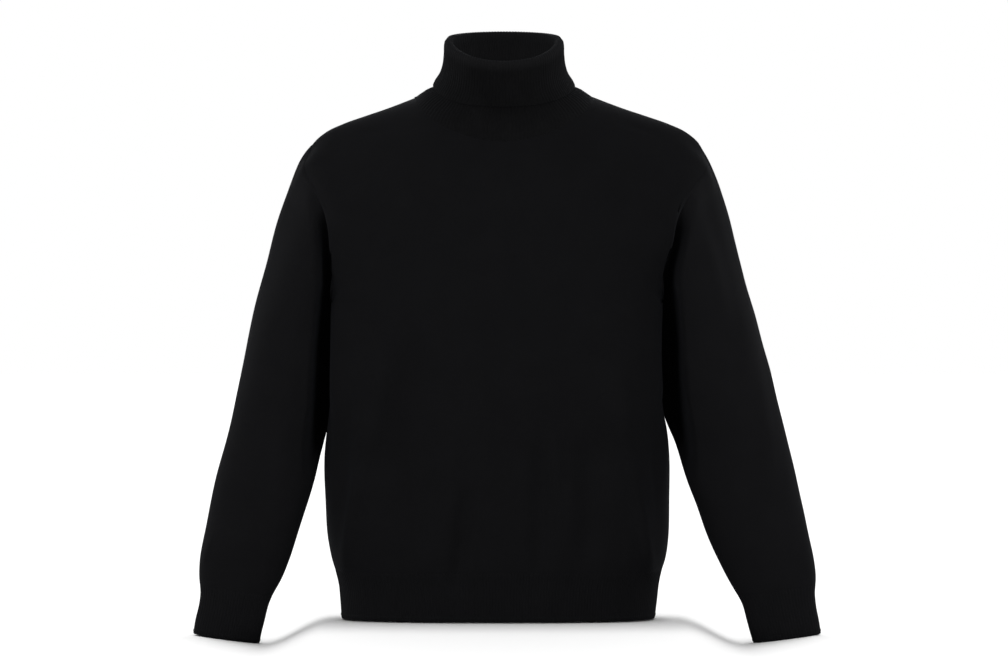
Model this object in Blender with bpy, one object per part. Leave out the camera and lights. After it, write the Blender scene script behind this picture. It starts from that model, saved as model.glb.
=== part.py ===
"""A fine-knit turtleneck sweater, hollow, as it hangs on a wearer with the arms down.

Millimetres, turned into metres when a mesh is made. +Z is up, the wearer faces -Y, with the left arm at +X.
The origin lies midway between the two points where the shoulder seams meet the collar.
Each panel is a grid of points on its outer face. Neighbouring grids share the points of their seam.
"""

import bpy
import numpy as np

MM = 0.001

JERSEY_WALL = 2.0
RIB_WALL = 2.6
COLLAR_WALL = 3.0
SEAM_GAP = 0.3  # between the edges of two sewn pieces
SHARPEST_SEAM = 0.3  # least cosine of half the turn at a seam that the gap is opened for
SLEEVE_CLEARANCE = 2.0  # between a hanging sleeve and the body beside it
UNDERARM_ARCH = 5.0  # how much further out the sleeve turns down at the underarm

HEM_Z = -676.0  # lower edge of the hem rib
RIB_TOP_Z = -615.0  # seam between the hem rib and the body
UNDERARM_Z = -268.0
NECK_HALF_WIDTH = 114.4  # from the centre to the end of a shoulder seam
FRONT_NECK_DROP = 62.0
BACK_NECK_DROP = 22.0
NECK_SQUARE = 1.75  # exponent of the neckline's superellipse
SHOULDER_ROUND = 135.0  # height over which the shoulder's top curves into the chest
SHOULDER_CURVE = 1.6  # exponent of that curve
SHOULDER_TIP_X = 252.0
RIDGE_Y = 8.0  # the shoulder seam lies this far back at the centre, and at 0 at its tip
LEAN = 0.011  # the left shoulder reaches this share further than the right one
SLEEVE_TOP_Z = -305.0  # first ring of the sleeve that lies across the arm
CUFF_SEAM_Z = -640.0
CUFF_END_Z = -700.5
SLEEVE_SQUARE = 2.15  # exponent of the superellipse across the arm
CUFF_TILT = 0.15  # slope of the rings across the forearm
TILT_RUN = 250.0  # length of the sleeve over which that slope builds up
CLEARANCE_START = 32.0  # above the underarm, where the sleeve begins to clear the body's side
CLEARANCE_RUN = 30.0  # it clears it fully this much lower
CAP_BULGE = 9.0  # how far the sleeve's head swells forward and back between the armhole and the arm
FOLD_RISE = 0.6  # share of a fold's length over which it rises
FOLD_FALL = 0.75  # share of its length after which it fades
FOLD_LOSS = 0.7  # share of its height that it loses there

NECK_STEPS = 14  # across the front neckline, and again across the back one
SHOULDER_STEPS = 8
ARMHOLE_STEPS = 10  # up one side of an armhole
BODY_STEPS = 7  # from the rib to the underarm
HEM_STEPS = 2
CAP_STEPS = 6
SLEEVE_STEPS = 9
CUFF_STEPS = 2
FOLD_STEPS = 3  # round the top of the turned-down collar
NECK_ANGLE = 24.0  # angle on the body's section below the end of a shoulder seam
RIDGE_CROWDING = 1.6  # crowds the rows towards the shoulder seam, where the cloth curves most
HEAD_CROWDING = 1.5  # the same for the rings of the sleeve's head
EDGE_SAMPLES = 400  # points along an armhole when its length is measured
CUT_DIRECTION = (0.11, 0.23, 1.0)  # decides which way the faces along a seam are cut
SHARP_ANGLE = 50.0


def table(columns, *rows):
    """The named columns of a table, each an array."""
    return dict(zip(columns.split(), np.array(rows, float).T))


# Level sections of the body: how far it reaches to the wearer's right and left, forward and back, and the
# exponent of its superellipse.
BODY = table(
    "z right left front back square",
    (HEM_Z, 211, 196, 105, 103, 2.7),
    (-654, 212.6, 198.8, 106, 104, 2.7),
    (-628, 215.3, 202, 107, 105, 2.7),
    (RIB_TOP_Z, 218.5, 205, 109, 106, 2.68),
    (-602, 222.4, 208.9, 110.5, 107, 2.65),
    (-576, 227.9, 213.1, 112, 107.5, 2.62),
    (-524, 231.8, 214.9, 112, 106, 2.6),
    (-446, 231.8, 213.6, 113, 104, 2.6),
    (-360, 232, 212.6, 115, 104, 2.6),
    (-305, 231.5, 212, 117, 107, 2.58),
    (-285, 230.5, 211, 117.5, 108.5, 2.56),
    (UNDERARM_Z, 228, 209.5, 118, 109.5, 2.55),
    (-225, 236, 219, 119, 112, 2.52),
    (-190, 240.5, 232, 119, 113, 2.5),
    (-160, 246, 240, 118, 113, 2.5),
    (-140, 250, 246, 117, 112, 2.48),
    (-125, 257, 254, 116, 111.5, 2.45),
    (-105, 262, 263, 114, 110, 2.42),
    (-60, 260, 264, 108, 104, 2.35),
    (20, 260, 264, 96, 92, 2.3),
)

# The shoulder seam, from the middle of the neck outwards.
SHOULDER = table(
    "x z",
    (0, 14),
    (60, 12.5),
    (95, 6.2),
    (NECK_HALF_WIDTH, 0),
    (125.6, -4.4),
    (153, -14.8),
    (184, -25.3),
    (213, -35.7),
    (234.5, -46.2),
    (247.3, -56.6),
    (256, -67),
)

# The armhole's edge, as a share of the body's reach at that height.
ARMHOLE = table(
    "z front back",
    (UNDERARM_Z, 1, 1),
    (-262, 0.991, 0.992),
    (-250, 0.962, 0.966),
    (-225, 0.93, 0.938),
    (-190, 0.906, 0.918),
    (-160, 0.908, 0.92),
    (-140, 0.92, 0.926),
    (-125, 0.945, 0.94),
    (-105, 0.958, 0.95),
    (-86, 0.965, 0.96),
    (-62, 0.96, 0.96),
)

# The sleeves' outer and inner edges seen from the front, and how far they reach forward and back.
SLEEVES = {
    "right": table(
        "z outer inner front back",
        (-708, 402, 316, 62, -20),
        (-693, 400.8, 312.5, 62, -20),
        (-680, 399, 309, 62, -20),
        (-654, 393.5, 302.3, 63, -19),
        (-641, 392.3, 296.5, 64, -17),
        (-628, 393.2, 289.7, 66, -14),
        (-602, 392.6, 278.8, 69, -8),
        (-550, 384.2, 260.8, 72, 0),
        (-498, 372.6, 245.4, 75, 5),
        (-446, 359.8, 232.6, 78, 11),
        (-420, 353.5, 228, 80, 15),
        (-368, 342, 224.5, 84, 22),
        (-305, 329, 224, 88, 32),
        (-264, 320, 223, 87, 40),
        (-212, 307, 222, 83, 47),
        (-160, 292.8, 220, 78, 50),
        (-134, 284.5, 220, 78, 50),
        (-108, 275.4, 220, 78, 50),
        (-95, 270.3, 220, 78, 50),
        (-82, 264.2, 220, 78, 50),
        (-75.4, 260.2, 220, 78, 50),
        (-69, 255.8, 220, 78, 50),
        (-62, 249.6, 220, 78, 50),
    ),
    "left": table(
        "z outer inner front back",
        (-708, 410.8, 322.5, 62, -20),
        (-693, 409.2, 317.6, 62, -20),
        (-680, 407.5, 314.1, 62, -20),
        (-654, 402.8, 306, 63, -19),
        (-641, 401.5, 298.2, 64, -17),
        (-628, 402.4, 290.4, 66, -14),
        (-602, 400.8, 277, 69, -8),
        (-550, 390.8, 255.6, 72, 0),
        (-498, 379, 236.8, 75, 5),
        (-446, 366.3, 220.6, 78, 11),
        (-420, 359.9, 212, 80, 15),
        (-368, 346.8, 206.5, 84, 22),
        (-305, 330.2, 205, 88, 32),
        (-264, 319.6, 203, 87, 40),
        (-212, 305.8, 201, 83, 47),
        (-160, 292.8, 200, 78, 50),
        (-134, 285, 200, 78, 50),
        (-108, 276.9, 200, 78, 50),
        (-95, 272, 200, 78, 50),
        (-82, 266.4, 200, 78, 50),
        (-75.4, 263, 200, 78, 50),
        (-69, 259.1, 200, 78, 50),
        (-61, 253.4, 200, 78, 50),
    ),
}

# The collar's outward face up the stand, then, past the fold, the same face down the turned-down layer. Each
# ring has its side, front and back points.
STAND = table(
    "side side_z front front_z back back_z square",
    (101, 7.6, -89.5, -45, 66, -3, 2.0),
    (88.5, 13.2, -88, -27, 63.5, 15, 2.0),
    (79, 24, -85, -8, 59, 33, 2.0),
    (73.5, 40, -81, 11, 52, 52, 2.0),
    (69.6, 59, -75.5, 30, 42, 73, 2.0),
    (68.6, 67, -72.8, 36.5, 33.8, 84, 2.0),
)
TURNOVER = table(
    "side side_z front front_z back back_z square",
    (75.2, 66.5, -79.3, 34.5, 40.2, 82, 2.0),
    (75.6, 50, -83, 18, 46, 68, 2.0),
    (77.6, 35.5, -87, 3, 51.5, 55, 2.0),
    (80.8, 26, -90, -8, 55.5, 46, 2.0),
    (88.6, 18, -93.5, -17.5, 60, 38, 2.0),
)

# Soft upright folds of the body above the hem: where each starts and ends, its half width and its height
# (troughs are negative). The front has its own and the back has its own.
FOLDS = {
    "front": table(
        "x z low_x low_z half_width height",
        (-58, -480, -58, -622, 26, -4.5),
        (50, -470, 60, -622, 26, -4.0),
        (105, -380, 108, -590, 36, -3.5),
        (-105, -400, -92, -600, 34, -3.0),
        (160, -500, 157, -618, 22, 3.0),
        (-175, -470, -190, -610, 24, 4.0),
    ),
    "back": table(
        "x z low_x low_z half_width height",
        (-90, -450, -80, -622, 30, -4.0),
        (20, -470, 12, -622, 28, -4.0),
        (112, -430, 104, -610, 32, -3.5),
        (-165, -480, -172, -615, 24, 3.0),
        (165, -470, 172, -612, 24, 3.0),
    ),
}

# Thickness, colour and roughness of each knit.
KNITS = {
    "jersey": (JERSEY_WALL, (0.006, 0.006, 0.008, 1.0), 0.85),
    "rib": (RIB_WALL, (0.005, 0.005, 0.007, 1.0), 0.9),
    "collar_rib": (COLLAR_WALL, (0.005, 0.005, 0.007, 1.0), 0.9),
}


def read(rows, column, at, by="z"):
    """A column of a table at the places `at`, on a smooth curve through its rows."""
    x, y = rows[by], rows[column]
    slope = np.gradient(y, x)
    k = np.clip(np.searchsorted(x, at) - 1, 0, len(x) - 2)
    span = x[k + 1] - x[k]
    u = np.clip((at - x[k]) / span, 0, 1)
    rise = u * u * (3 - 2 * u)
    bend = u * (1 - u) * span * ((1 - u) * slope[k] - u * slope[k + 1])
    return y[k] * (1 - rise) + y[k + 1] * rise + bend


def smooth_step(x):
    """0 below 0, 1 above 1, and a soft rise between."""
    x = np.clip(x, 0, 1)
    return x * x * (3 - 2 * x)


def unit(vectors):
    return vectors / np.linalg.norm(vectors, axis=-1, keepdims=True)


def reach(side, z):
    """How far the body reaches at height z: to the right where side is negative, else to the left."""
    return np.where(side < 0, read(BODY, "right", z), read(BODY, "left", z))


def ridge(x):
    """Height of the shoulder seam above x."""
    return read(SHOULDER, "z", np.abs(x) / (1 + LEAN * np.sign(x)), by="x")


def on_body(x, z, panel):
    """Point of a panel at x and z: a superellipse across, drawn in to the shoulder seam along a round."""
    square = read(BODY, "square", z)
    across = np.clip(np.abs(x) / reach(x, z), 0, 1)
    depth = read(BODY, panel, z) * (1 - across**square) ** (1 / square)
    below = np.clip((ridge(x) - z) / SHOULDER_ROUND, 0, 1)
    full = (1 - (1 - below) ** SHOULDER_CURVE) ** (1 / SHOULDER_CURVE)
    facing = -1 if panel == "front" else 1
    seam_y = RIDGE_Y * np.clip(1 - np.abs(x) / SHOULDER_TIP_X, 0, 1)
    return np.stack([x, seam_y * (1 - full) + facing * depth * full, z], axis=-1)


def angle_at(x, z):
    """Angle on the level section at which the body reaches x."""
    square = read(BODY, "square", z)
    return np.sign(x) * np.arcsin(np.clip(np.abs(x) / reach(x, z), 0, 1) ** (square / 2))


def at_angle(angle, z):
    """x on the level section at an angle, which is 0 in the middle of a panel and 90 degrees at its side."""
    return np.sign(angle) * reach(angle, z) * np.abs(np.sin(angle)) ** (2 / read(BODY, "square", z))


def crowded(steps, power):
    """Fractions from 0 to 1 that crowd towards 1."""
    return 1 - (1 - np.linspace(0, 1, steps + 1)) ** power


def armhole(side, panel, steps):
    """x and z along one side of an armhole, from the underarm to the shoulder, crowded near the shoulder."""
    z = np.linspace(UNDERARM_Z, ARMHOLE["z"][-1], EDGE_SAMPLES)
    x = side * read(ARMHOLE, panel, z) * reach(side * np.ones_like(z), z)
    z[-1] = ridge(x[-1])
    run = np.linalg.norm(np.diff(on_body(x, z, panel), axis=0), axis=1)
    along = np.concatenate([[0], np.cumsum(run)]) / run.sum()
    at = crowded(steps, RIDGE_CROWDING)
    return np.interp(at, along, x), np.interp(at, along, z)


def neckline(angle, panel):
    """x and z of the neckline seam, which is a superellipse seen from the front."""
    x = np.sign(angle) * NECK_HALF_WIDTH * np.abs(np.sin(angle)) ** (2 / NECK_SQUARE)
    drop = FRONT_NECK_DROP if panel == "front" else BACK_NECK_DROP
    return x, ridge(NECK_HALF_WIDTH) - drop * np.abs(np.cos(angle)) ** (2 / NECK_SQUARE)


def column_angles():
    """Angles of a panel's columns on the sections below the underarm, from one side seam to the other."""
    neck = np.radians(np.linspace(-NECK_ANGLE, NECK_ANGLE, NECK_STEPS + 1))
    left = np.radians(np.linspace(NECK_ANGLE, 90, SHOULDER_STEPS + 1))
    return np.concatenate([-left[:0:-1], neck, left[1:]])


def top_edge(panel):
    """x and z along a panel's top: one shoulder seam, the neckline, and the other shoulder seam."""
    tips = [armhole(side, panel, 1)[0][-1] for side in (-1, 1)]
    right = np.linspace(tips[0], -NECK_HALF_WIDTH, SHOULDER_STEPS + 1)[:-1]
    left = np.linspace(NECK_HALF_WIDTH, tips[1], SHOULDER_STEPS + 1)[1:]
    neck_x, neck_z = neckline(np.linspace(-np.pi / 2, np.pi / 2, NECK_STEPS + 1), panel)
    return np.concatenate([right, neck_x, left]), np.concatenate([ridge(right), neck_z, ridge(left)])


def upper_panel(panel):
    """Points of a panel above the underarm: angle and height blended from the patch's four edges."""
    up = crowded(ARMHOLE_STEPS, RIDGE_CROWDING)[:, None]
    low = column_angles()
    across = np.linspace(0, 1, len(low))
    top_x, top_z = top_edge(panel)
    sides = []
    for side in (-1, 1):
        x, z = armhole(side, panel, ARMHOLE_STEPS)
        sides.append(np.stack([angle_at(x, z), z], axis=-1)[:, None, :])
    bottom = np.stack([low, np.full(len(low), UNDERARM_Z)], axis=-1)
    top = np.stack([angle_at(top_x, top_z), top_z], axis=-1)
    rows = (1 - up[..., None]) * bottom + up[..., None] * top
    columns = (1 - across[:, None]) * sides[0] + across[:, None] * sides[1]
    corners = [(1 - up[..., None]) * end[:1] + up[..., None] * end[-1:] for end in sides]
    blend = rows + columns - (1 - across[:, None]) * corners[0] - across[:, None] * corners[1]
    angle, z = blend[..., 0], blend[..., 1]
    x = at_angle(angle, z)
    x[-1], z[-1] = top_x, top_z
    return on_body(x, z, panel)


def folds(points, panel):
    """Heights of the upright folds at a panel's points: round ridges and troughs that fade at both ends."""
    x, z = points[..., 0, None], points[..., 2, None]
    fold = FOLDS[panel]
    along = (fold["z"] - z) / (fold["z"] - fold["low_z"])
    middle = fold["x"] + (fold["low_x"] - fold["x"]) * np.clip(along, 0, 1)
    loss = FOLD_LOSS * smooth_step((along - FOLD_FALL) / (1 - FOLD_FALL))
    fade = smooth_step(along / FOLD_RISE) * (1 - loss)
    shape = fold["height"] * np.exp(-(((x - middle) / fold["half_width"]) ** 2))
    return (shape * fade).sum(axis=-1)


def body_panel(panel):
    """Rows of points from the hem rib's seam up to the shoulders. The back's columns run the other way."""
    angles = column_angles()
    z = np.repeat(np.linspace(RIB_TOP_Z, UNDERARM_Z, BODY_STEPS + 1)[:-1, None], len(angles), axis=1)
    lower = on_body(at_angle(np.broadcast_to(angles, z.shape), z), z, panel)
    points = np.concatenate([lower, upper_panel(panel)])
    facing = -1 if panel == "front" else 1
    points[1:, 1:-1, 1] += facing * folds(points[1:, 1:-1], panel)
    return points if panel == "front" else points[:, ::-1]


def hem_rib(panel):
    angles = column_angles()
    z = np.repeat(np.linspace(HEM_Z, RIB_TOP_Z, HEM_STEPS + 1)[:, None], len(angles), axis=1)
    points = on_body(at_angle(np.broadcast_to(angles, z.shape), z), z, panel)
    return points if panel == "front" else points[:, ::-1]


def armhole_ring(side):
    """The armhole's points, starting on the wearer's left of the ring and going round by the front."""
    front = on_body(*armhole(side, "front", ARMHOLE_STEPS), "front")
    back = on_body(*armhole(side, "back", ARMHOLE_STEPS), "back")
    if side < 0:
        return np.concatenate([front, back[-2:0:-1]])
    return np.concatenate([front[::-1], back[1:-1]])


def ring_angles(side):
    """Angles of the sleeve's columns, 0 at the ring's left and 90 degrees in front, one per armhole point."""
    at = np.pi * crowded(ARMHOLE_STEPS, RIDGE_CROWDING)
    if side < 0:
        return np.concatenate([at, (2 * np.pi - at)[-2:0:-1]])
    return np.concatenate([np.pi - at[::-1], (np.pi + at)[1:-1]])


def sleeve_ring(side, z):
    """A ring across the arm with its middle at height z, tilted until it lies square to the forearm."""
    rows = SLEEVES["right" if side < 0 else "left"]
    tilt = CUFF_TILT * smooth_step((SLEEVE_TOP_Z - z) / TILT_RUN)
    half = (read(rows, "outer", z) - read(rows, "inner", z)) / 2
    outer = read(rows, "outer", z + tilt * half)
    inner = read(rows, "inner", z - tilt * half)
    front, back = read(rows, "front", z), read(rows, "back", z)
    angle = ring_angles(side)
    cosine = np.sign(np.cos(angle)) * np.abs(np.cos(angle)) ** (2 / SLEEVE_SQUARE)
    sine = np.sign(np.sin(angle)) * np.abs(np.sin(angle)) ** (2 / SLEEVE_SQUARE)
    x = side * (outer + inner) / 2 + (outer - inner) / 2 * cosine
    y = (back - front) / 2 - (front + back) / 2 * sine
    return np.stack([x, y, z + tilt * (np.abs(x) - (outer + inner) / 2)], axis=-1)


def beside_body(points, side, clearance):
    """Sleeve points moved out to where they clear the body's side, below the underarm."""
    x, y, z = points[..., 0], points[..., 1], points[..., 2]
    square = read(BODY, "square", z)
    depth = np.where(y < 0, read(BODY, "front", z), read(BODY, "back", z))
    wall = reach(side * np.ones_like(x), z) * (1 - np.clip(np.abs(y) / depth, 0, 1) ** square) ** (1 / square)
    short = np.clip(wall + clearance - side * x, 0, None)
    moved = points.copy()
    moved[..., 0] += side * short * smooth_step((UNDERARM_Z + CLEARANCE_START - z) / CLEARANCE_RUN)
    return moved


def sleeve(side):
    """Rings from the armhole round the sleeve's head, then down the arm to the cuff's seam."""
    rows = SLEEVES["right" if side < 0 else "left"]
    start = armhole_ring(side)
    end = sleeve_ring(side, SLEEVE_TOP_Z)
    angle = ring_angles(side)
    t = np.linspace(0, 1, CAP_STEPS + 1)[:, None, None] ** HEAD_CROWDING
    head = (1 - t) * start + t * end
    top = np.argmax(side * end[:, 0])
    edge = side * read(rows, "outer", head[1:, top, 2]) - head[1:, top, 0]
    head[1:, :, 0] += edge[:, None] * (1 + side * np.cos(angle)) / 2
    swell = np.sin(np.pi * t[..., 0]) * CAP_BULGE * np.sin(angle) * np.abs(np.sin(angle))
    head[..., 1] -= swell
    clearance = SLEEVE_CLEARANCE + UNDERARM_ARCH * (1 - t[1:, :, 0])
    head[1:] = beside_body(head[1:], side, clearance)
    heights = np.linspace(SLEEVE_TOP_Z, CUFF_SEAM_Z, SLEEVE_STEPS + 1)[1:]
    arm = np.stack([beside_body(sleeve_ring(side, z), side, SLEEVE_CLEARANCE) for z in heights])
    return np.concatenate([head, arm])


def cuff(side):
    return np.stack([sleeve_ring(side, z) for z in np.linspace(CUFF_SEAM_Z, CUFF_END_Z, CUFF_STEPS + 1)])


def collar_ring(rows, k, angles):
    """Ring k of a collar table. Angle 0 is in front and 90 degrees on the wearer's left."""
    power = 2 / rows["square"][k]
    across = np.sign(np.sin(angles)) * np.abs(np.sin(angles)) ** power
    along = np.abs(np.cos(angles)) ** power
    front = np.cos(angles) > 0
    middle = (rows["front"][k] + rows["back"][k]) / 2
    y = middle + (np.where(front, rows["front"][k], rows["back"][k]) - middle) * along
    end_z = np.where(front, rows["front_z"][k], rows["back_z"][k])
    z = rows["side_z"][k] + (end_z - rows["side_z"][k]) * along
    return np.stack([rows["side"][k] * across, y, z], axis=-1)


def collar():
    """One knitted tube: the stand up from the neckline, a round fold, and the layer turned down outside."""
    steps = np.pi / NECK_STEPS
    angles = -np.pi / 2 + steps * np.arange(2 * NECK_STEPS)
    front = angles <= np.pi / 2 + steps / 2
    base = np.where(
        front[:, None],
        on_body(*neckline(angles, "front"), "front"),
        on_body(*neckline(np.pi - angles, "back"), "back"),
    )
    stand = [collar_ring(STAND, k, angles) for k in range(len(STAND["side"]))]
    turned = [collar_ring(TURNOVER, k, angles) for k in range(len(TURNOVER["side"]))]
    middle, half = (stand[-1] + turned[0]) / 2, (turned[0] - stand[-1]) / 2
    radius = np.linalg.norm(half, axis=1, keepdims=True)
    up = unit(stand[-1] - stand[-2] + turned[0] - turned[1])
    bends = np.linspace(0, np.pi, FOLD_STEPS + 1)[1:-1]
    fold = [middle - half * np.cos(bend) + up * radius * np.sin(bend) for bend in bends]
    return np.stack([base, *stand, *fold, *turned])


def face_normals(grid, ring):
    """Normals of a grid of points, across its columns and rows. A ring's last column meets its first."""
    if ring:
        across = np.roll(grid, -1, axis=1) - np.roll(grid, 1, axis=1)
    else:
        across = np.gradient(grid, axis=1)
    return unit(np.cross(across, np.gradient(grid, axis=0)))


def shared_normals(grids, rings):
    """One normal for each place, so that pieces that meet at a seam end on the same bevel."""
    normals = {name: face_normals(grid, name in rings) for name, grid in grids.items()}
    places = np.concatenate([grid.reshape(-1, 3) for grid in grids.values()])
    flat = np.concatenate([normal.reshape(-1, 3) for normal in normals.values()])
    _, index = np.unique(np.round(places, 3), axis=0, return_inverse=True)
    total = np.zeros((index.max() + 1, 3))
    np.add.at(total, index.ravel(), flat)
    merged = unit(total)[index.ravel()]
    start = 0
    for name, grid in grids.items():
        count = grid.shape[0] * grid.shape[1]
        normals[name] = merged[start : start + count].reshape(grid.shape)
        start += count
    return normals


def inward(edge, normals, shared, ring):
    """Steps off an edge, along the cloth and to its left, that end half a gap from the seam's middle plane.
    That plane holds the edge and the shared normal. A corner of the edge takes a longer step."""
    after = unit(np.roll(edge, -1, axis=0) - edge)
    if not ring:
        after[-1] = after[-2]
    before = np.roll(after, 1, axis=0)
    if not ring:
        before[0] = after[0]
    along = unit(before + after)
    into = unit(np.cross(normals, along))
    across = unit(np.cross(shared, along))
    turn = (into * across).sum(axis=-1, keepdims=True) * (along * after).sum(axis=-1, keepdims=True)
    return into / np.clip(turn, SHARPEST_SEAM, 1) * SEAM_GAP / 2


def draw_back(grid, shared, ring):
    """The grid with each edge drawn in to leave the seam's gap."""
    normals = face_normals(grid, ring)
    drawn = grid.copy()
    drawn[0] += inward(grid[0], normals[0], shared[0], ring)
    drawn[-1] -= inward(grid[-1], normals[-1], shared[-1], ring)
    if not ring:
        drawn[:, 0] -= inward(grid[:, 0], normals[:, 0], shared[:, 0], ring)
        drawn[:, -1] += inward(grid[:, -1], normals[:, -1], shared[:, -1], ring)
    return drawn


def edge_strip(outer, inner, points):
    """Triangles along one edge of a wall. Each square is cut from its higher outer corner, so that two pieces
    that meet there are cut alike."""
    height = points[outer] @ CUT_DIRECTION
    first_higher = (height[:-1] > height[1:])[:, None]
    a, b, c, d = outer[:-1, None], outer[1:, None], inner[1:, None], inner[:-1, None]
    one = np.where(first_higher, np.hstack([a, b, c]), np.hstack([a, b, d]))
    two = np.where(first_higher, np.hstack([a, c, d]), np.hstack([b, c, d]))
    return np.concatenate([one, two]).tolist()


def wall(name, outer, normals, thickness, ring, material):
    """A closed wall: the outer face, the inner face, and the edges between them."""
    rows, columns = outer.shape[:2]
    points = np.concatenate([outer.reshape(-1, 3), (outer - normals * thickness).reshape(-1, 3)])
    index = np.arange(rows * columns).reshape(rows, columns)
    if ring:
        index = np.concatenate([index, index[:, :1]], axis=1)
    inside = index + rows * columns
    a, b, c, d = index[:-1, :-1], index[:-1, 1:], index[1:, 1:], index[1:, :-1]
    faces = np.stack([a, b, c, d], axis=-1).reshape(-1, 4).tolist()
    faces += (np.stack([a, d, c, b], axis=-1).reshape(-1, 4) + rows * columns).tolist()
    faces += edge_strip(index[0, ::-1], inside[0, ::-1], points)
    faces += edge_strip(index[-1], inside[-1], points)
    if not ring:
        faces += edge_strip(index[:, 0], inside[:, 0], points)
        faces += edge_strip(index[::-1, -1], inside[::-1, -1], points)
    mesh = bpy.data.meshes.new(name)
    mesh.from_pydata((points * MM).tolist(), [], faces)
    mesh.shade_smooth()
    mesh.set_sharp_from_angle(angle=np.radians(SHARP_ANGLE))
    mesh.materials.append(material)
    piece = bpy.data.objects.new(name, mesh)
    bpy.context.scene.collection.objects.link(piece)
    return piece


def knit(name, colour, roughness):
    material = bpy.data.materials.new(name)
    material.use_nodes = True
    shader = material.node_tree.nodes["Principled BSDF"]
    shader.inputs["Base Color"].default_value = colour
    shader.inputs["Roughness"].default_value = roughness
    shader.inputs["Metallic"].default_value = 0.0
    return material


def clear_scene():
    for piece in list(bpy.data.objects):
        bpy.data.objects.remove(piece, do_unlink=True)


def main():
    clear_scene()
    pieces = {
        "front": ("jersey", body_panel("front")),
        "back": ("jersey", body_panel("back")),
        "hem_rib_front": ("rib", hem_rib("front")),
        "hem_rib_back": ("rib", hem_rib("back")),
        "sleeve_right": ("jersey", sleeve(-1)),
        "sleeve_left": ("jersey", sleeve(1)),
        "cuff_right": ("rib", cuff(-1)),
        "cuff_left": ("rib", cuff(1)),
        "collar": ("collar_rib", collar()),
    }
    grids = {name: grid for name, (_, grid) in pieces.items()}
    rings = {name for name in grids if name.startswith(("sleeve", "cuff", "collar"))}
    normals = shared_normals(grids, rings)
    for name, (kind, grid) in pieces.items():
        thickness, colour, roughness = KNITS[kind]
        outer = draw_back(grid, normals[name], name in rings)
        material = knit(name + "_knit", colour, roughness)
        wall(name, outer, normals[name], thickness, name in rings, material)


main()
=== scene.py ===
import bpy
import numpy as np
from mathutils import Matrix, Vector


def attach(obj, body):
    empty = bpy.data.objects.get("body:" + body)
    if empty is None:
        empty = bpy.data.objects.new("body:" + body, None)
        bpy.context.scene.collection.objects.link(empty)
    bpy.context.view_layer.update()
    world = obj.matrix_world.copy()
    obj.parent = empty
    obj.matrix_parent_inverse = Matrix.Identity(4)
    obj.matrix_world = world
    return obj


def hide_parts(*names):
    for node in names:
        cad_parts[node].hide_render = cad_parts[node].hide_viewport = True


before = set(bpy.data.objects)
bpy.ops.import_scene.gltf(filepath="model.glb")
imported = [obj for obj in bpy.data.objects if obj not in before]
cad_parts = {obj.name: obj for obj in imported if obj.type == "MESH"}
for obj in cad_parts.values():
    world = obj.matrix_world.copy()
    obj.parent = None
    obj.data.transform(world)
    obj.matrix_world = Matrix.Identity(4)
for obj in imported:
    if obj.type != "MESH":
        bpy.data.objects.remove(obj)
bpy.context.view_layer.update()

scene = bpy.context.scene
mm = 0.001

# Sizes are in millimetres and turn into metres when a mesh is made. +Z is up, the wearer faces -Y and the
# left arm is at +X. The origin lies midway between the inner ends of the two shoulder seams.
# Cloth is a grid of points: rows run along the wales and columns across them, to the right as seen from
# outside, so that columns x rows points out of the cloth's outer face.


def table(columns, *rows):  # the named columns of a table, each an array
    return dict(zip(columns.split(), np.array(rows, float).T))


def through(x, y, at):
    # a smooth curve through values or whole rows of points y at x: on each span
    # y0 (1 - r) + y1 r + u (1 - u) span ((1 - u) slope0 - u slope1), with r = 3u^2 - 2u^3
    slope = np.gradient(y, x, axis=0)
    k = np.clip(np.searchsorted(x, at) - 1, 0, len(x) - 2)
    deeper = (1,) * (y.ndim - 1)
    span = (x[k + 1] - x[k]).reshape(np.shape(k) + deeper)
    u = np.clip((at - x[k]).reshape(np.shape(k) + deeper) / span, 0, 1)
    r = u * u * (3 - 2 * u)
    return y[k] * (1 - r) + y[k + 1] * r + u * (1 - u) * span * ((1 - u) * slope[k] - u * slope[k + 1])


def read(rows, column, at, by="z"):
    return through(rows[by], rows[column], np.asarray(at, float))


def softStep(x):  # 3x^2 - 2x^3 between 0 and 1
    x = np.clip(x, 0, 1)
    return x * x * (3 - 2 * x)


def bell(x):  # exp(-x^2)
    return np.exp(-(x**2))


def unit(vectors):
    return vectors / np.linalg.norm(vectors, axis=-1, keepdims=True)


def signedPower(x, power):
    return np.sign(x) * np.abs(x) ** power


def crowded(steps, power):  # fractions from 0 to 1 that crowd towards 1
    return 1 - (1 - np.linspace(0, 1, steps + 1)) ** power


def runAlong(points, axis=0):  # distance along an axis of a grid, from its first row or column
    steps = np.linalg.norm(np.diff(points, axis=axis), axis=-1)
    start = np.zeros_like(np.take(steps, [0], axis))
    return np.concatenate([start, np.cumsum(steps, axis=axis)], axis=axis)


def evenlyAlong(points, values, count):  # values at count + 1 places evenly spaced along a line of points
    run = runAlong(points)
    return np.interp(np.linspace(0, run[-1], count + 1), run, values)


def placed(name, data):  # a new object in the scene, at the origin
    thing = bpy.data.objects.new(name, data)
    scene.collection.objects.link(thing)
    return thing


def fill(node, values):  # sets a shader node's sockets
    for socket, value in values.items():
        node.inputs[socket].default_value = value


# The body's form.

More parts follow.
